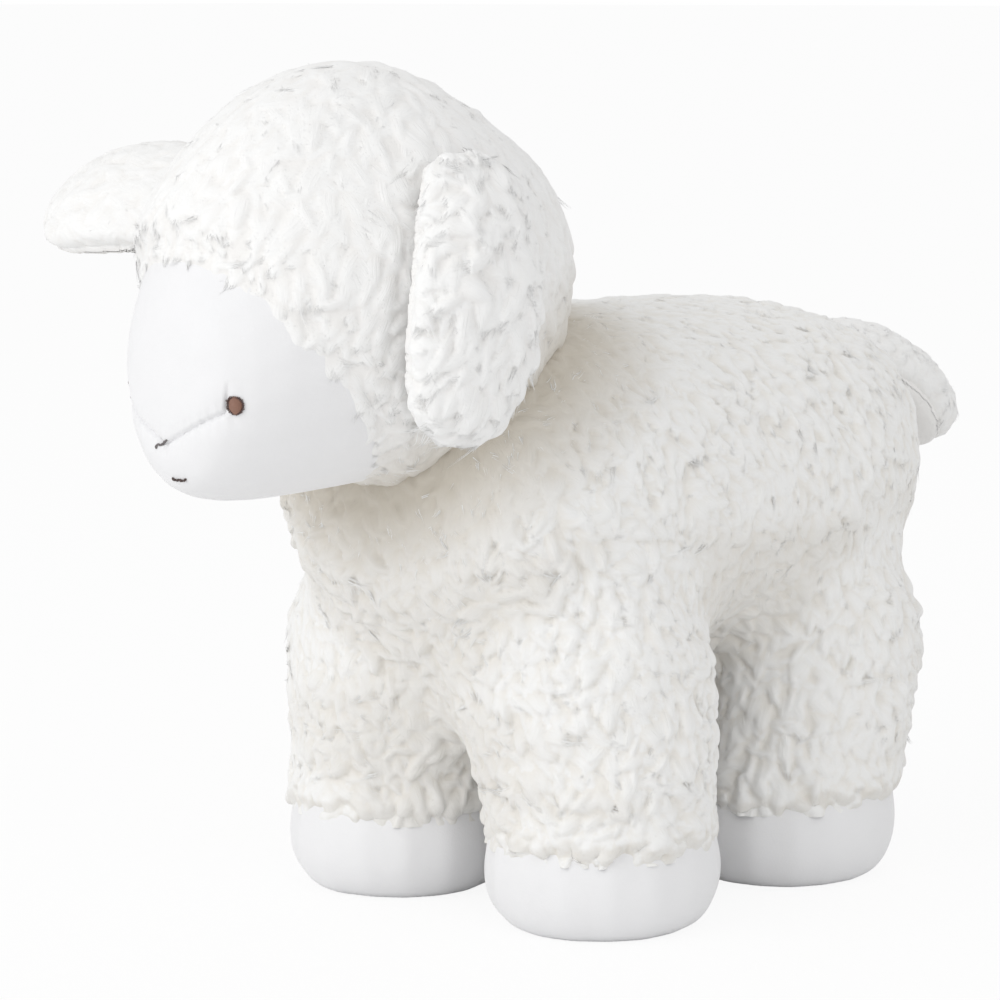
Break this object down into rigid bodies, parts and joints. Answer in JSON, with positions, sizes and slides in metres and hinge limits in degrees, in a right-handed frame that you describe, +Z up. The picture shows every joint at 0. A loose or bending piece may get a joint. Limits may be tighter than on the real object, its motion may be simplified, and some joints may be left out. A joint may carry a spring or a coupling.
{
  "type": "plush sheep",
  "caption": "Standing plush sheep sewn from curly fleece and smooth pile, stuffed, with flap ears and a flap tail on sprung seams.",
  "frame": {"origin": "centre of the bounding box's underside, on the surface that the four soles stand on", "axes": "+Z up, the sheep faces -Y, its left side is +X"},
  "size_m": [0.231, 0.3712, 0.2808],
  "materials": {
    "fleece": "curly wool-like pile, matte",
    "smooth_pile": "short smooth pile, matte",
    "ear_lining": "short smooth pile, matte",
    "stuffing": "polyester fibre fill, matte",
    "eye_thread": "embroidery thread",
    "nose_thread": "embroidery thread",
    "mouth_thread": "embroidery thread"
  },
  "bodies": {
    "sheep": {"body_cover": "fleece", "body_stuffing": "stuffing", "head_hood": "fleece", "forehead_gusset": "smooth_pile", "cheek_left": "smooth_pile", "cheek_right": "smooth_pile", "head_stuffing": "stuffing", "leg_cover_front_left": "fleece", "leg_cover_front_right": "fleece", "leg_cover_rear_left": "fleece", "leg_cover_rear_right": "fleece", "leg_stuffing_front_left": "stuffing", "leg_stuffing_front_right": "stuffing", "leg_stuffing_rear_left": "stuffing", "leg_stuffing_rear_right": "stuffing", "foot_front_left": "smooth_pile", "foot_front_right": "smooth_pile", "foot_rear_left": "smooth_pile", "foot_rear_right": "smooth_pile", "sole_front_left": "smooth_pile", "sole_front_right": "smooth_pile", "sole_rear_left": "smooth_pile", "sole_rear_right": "smooth_pile", "eye_left": "eye_thread", "eye_right": "eye_thread", "nose_stitch": "nose_thread", "mouth_stitch": "mouth_thread"},
    "left_ear": {"ear_fleece_left": "fleece", "ear_lining_left": "ear_lining"},
    "right_ear": {"ear_fleece_right": "fleece", "ear_lining_right": "ear_lining"},
    "tail": {"tail_fleece": "fleece", "tail_lining": "ear_lining"}
  },
  "joints": [
    {"name": "left_ear_seam", "type": "hinge", "parent": "sheep", "child": "left_ear", "pos_m": [0.07974, -0.11528, 0.24633], "axis": [-0.1727, -0.9794, 0.1045], "range_deg": [0, 80], "stiffness_Nm_per_rad": 0.06},
    {"name": "right_ear_seam", "type": "hinge", "parent": "sheep", "child": "right_ear", "pos_m": [-0.03611, -0.09476, 0.22886], "axis": [-0.133, 0.7544, 0.6428], "range_deg": [-70, 10], "stiffness_Nm_per_rad": 0.06},
    {"name": "tail_seam", "type": "hinge", "parent": "sheep", "child": "tail", "pos_m": [0.03041, 0.13052, 0.16862], "axis": [0.9659, -0.2588, 0], "range_deg": [-10, 35], "stiffness_Nm_per_rad": 0.06}
  ]
}
